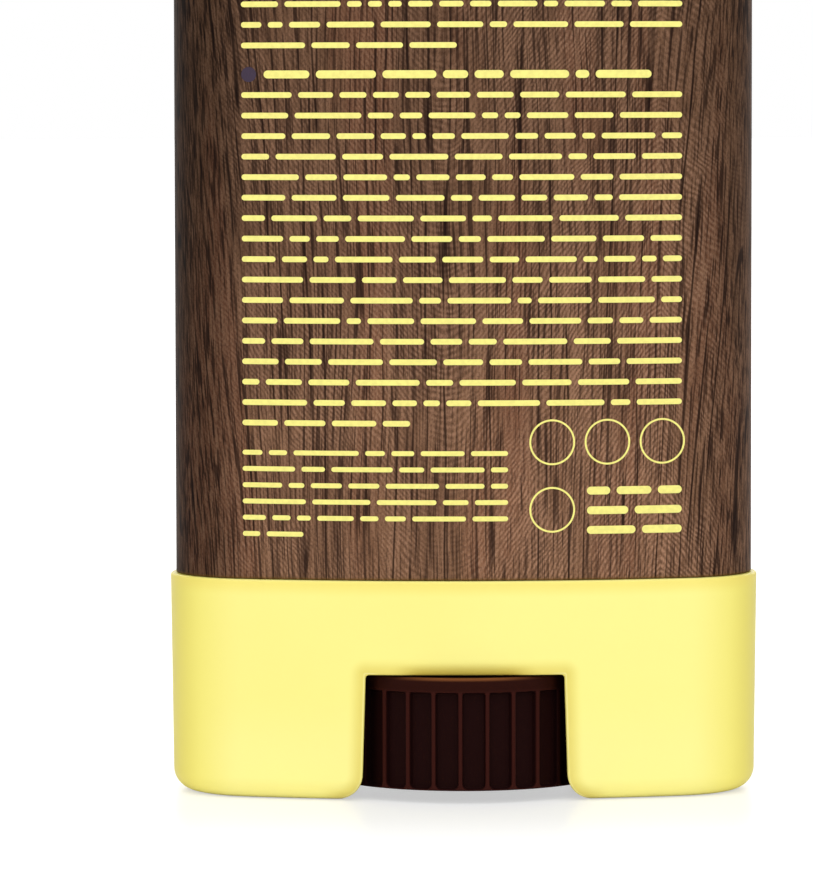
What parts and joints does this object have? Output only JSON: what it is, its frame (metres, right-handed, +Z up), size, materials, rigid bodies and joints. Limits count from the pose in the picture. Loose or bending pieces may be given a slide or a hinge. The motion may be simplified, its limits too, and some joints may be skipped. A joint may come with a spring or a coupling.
{
  "type": "sunscreen stick",
  "caption": "Oval twist-up stick: ribbed dial in a notched base, barrel, spindle, elevator, balm, inner lid and pull-off cap.",
  "frame": {"origin": "under the middle of the base, on the surface that the stick stands on", "axes": "+Z up along the barrel, +X along the oval's width, -Y to the front"},
  "size_m": [0.0318, 0.0148, 0.0797],
  "materials": {
    "yellow_plastic": "satin moulded pale yellow",
    "wood_look_plastic": "dark brown with a printed wood figure",
    "dial_plastic": "satin moulded dark brown",
    "screw_plastic": "natural moulded",
    "balm": "waxy off-white",
    "lid_plastic": "thin milky polypropylene"
  },
  "bodies": {
    "housing": {"base": "yellow_plastic", "barrel": "wood_look_plastic"},
    "knob": {"dial": "dial_plastic", "spindle": "screw_plastic"},
    "carriage": {"elevator": "screw_plastic", "balm": "balm"},
    "inner_lid": {"seal_lid": "lid_plastic"},
    "cap": {"cap": "yellow_plastic"}
  },
  "joints": [
    {"name": "dial_turn", "type": "hinge", "parent": "housing", "child": "knob", "pos_m": [0, 0, 0.0035], "axis": [0, 0, -1], "range_deg": [0, 4321]},
    {"name": "elevator_rise", "type": "slide", "parent": "housing", "child": "carriage", "axis": [0, 0, 1], "range_m": [0, 0.048]},
    {"name": "seal_pull", "type": "slide", "parent": "carriage", "child": "inner_lid", "axis": [0, 0, 1], "range_m": [0, 0.012]},
    {"name": "cap_pull", "type": "slide", "parent": "inner_lid", "child": "cap", "axis": [0, 0, 1], "range_m": [0, 0.03]}
  ],
  "couplings": [
    {"joint": "dial_turn", "follows": "elevator_rise", "rad_per_m": 1570.8}
  ]
}
